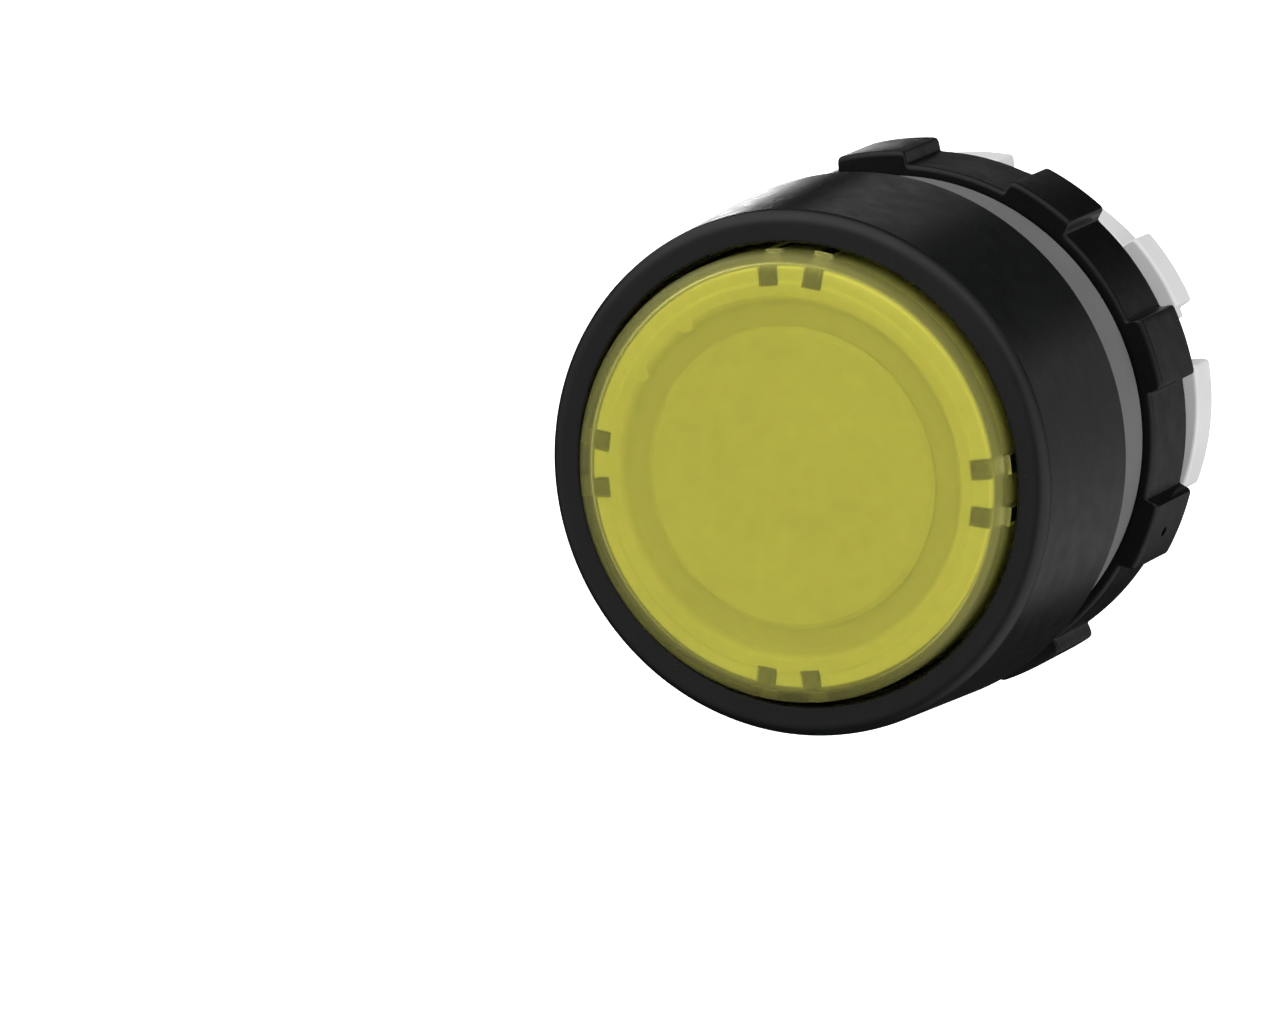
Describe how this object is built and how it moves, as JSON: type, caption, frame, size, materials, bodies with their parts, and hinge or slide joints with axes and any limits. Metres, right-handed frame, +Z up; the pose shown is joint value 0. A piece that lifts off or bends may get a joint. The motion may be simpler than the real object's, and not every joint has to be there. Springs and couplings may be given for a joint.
{
  "type": "illuminated push button head",
  "caption": "Round push button head with a yellow lens that stands just proud of its black bezel, sprung plunger, panel gasket, lugged locking nut and bayonet coupling ring.",
  "frame": {"origin": "on the button's axis, in the plane of the gasket's rear face, where the head seats on the panel", "axes": "+Y along the axis, out of the back of the panel; -Y is the side a person presses; +Z up, at the locating key; +X to the right as seen from the front"},
  "size_m": [0.0297, 0.033, 0.03],
  "materials": {
    "bezel_black": "satin moulded polycarbonate",
    "body_plastic": "matte glass-filled nylon",
    "plunger_black": "matte moulded nylon",
    "nut_black": "fine-grained matte nylon",
    "coupling_grey": "fine-grained light grey nylon",
    "natural_plastic": "natural white acetal",
    "lens_yellow": "clear tinted polycarbonate",
    "diffuser_pale": "translucent pale moulded plastic",
    "legend_pale": "matte translucent pale sheet",
    "reflector_white": "white moulded plastic",
    "gasket_rubber": "matte grey seal rubber",
    "silicone_white": "translucent white silicone",
    "seal_rubber": "black nitrile",
    "spring_steel": "drawn stainless wire",
    "washer_steel": "zinc-plated pressing"
  },
  "bodies": {
    "root": {"bezel": "bezel_black", "bezel_seal": "seal_rubber", "housing": "body_plastic", "panel_gasket": "gasket_rubber", "locating_key": "body_plastic", "spring_seat": "natural_plastic", "return_spring": "spring_steel", "wave_washer": "spring_steel", "snap_wire": "spring_steel"},
    "button": {"lens_cap": "lens_yellow", "lens_seal": "silicone_white", "legend_disc": "legend_pale", "diffuser": "diffuser_pale", "reflector": "reflector_white", "plunger": "plunger_black", "plunger_seal": "seal_rubber", "actuator_ring": "natural_plastic"},
    "washer": {"thrust_washer": "washer_steel"},
    "nut": {"locking_nut": "nut_black"},
    "coupling": {"coupling_ring": "coupling_grey"}
  },
  "joints": [
    {"name": "button_press", "type": "slide", "parent": "root", "child": "button", "axis": [0, 1, 0], "range_m": [0, 0.004], "stiffness_N_per_m": 700, "springref_m": -0.004, "deforming": ["return_spring"]},
    {"name": "nut_travel", "type": "slide", "parent": "root", "child": "washer", "axis": [0, 1, 0], "range_m": [0, 0.0045]},
    {"name": "nut_turn", "type": "hinge", "parent": "washer", "child": "nut", "pos_m": [0, 0.003, 0], "axis": [0, 1, 0], "range_deg": [0, 1080]},
    {"name": "coupling_turn", "type": "hinge", "parent": "root", "child": "coupling", "pos_m": [0, 0.0114, 0], "axis": [0, 1, 0], "range_deg": [0, 30]}
  ],
  "couplings": [
    {"joint": "nut_travel", "follows": "nut_turn", "m_per_rad": 0.00023873}
  ]
}
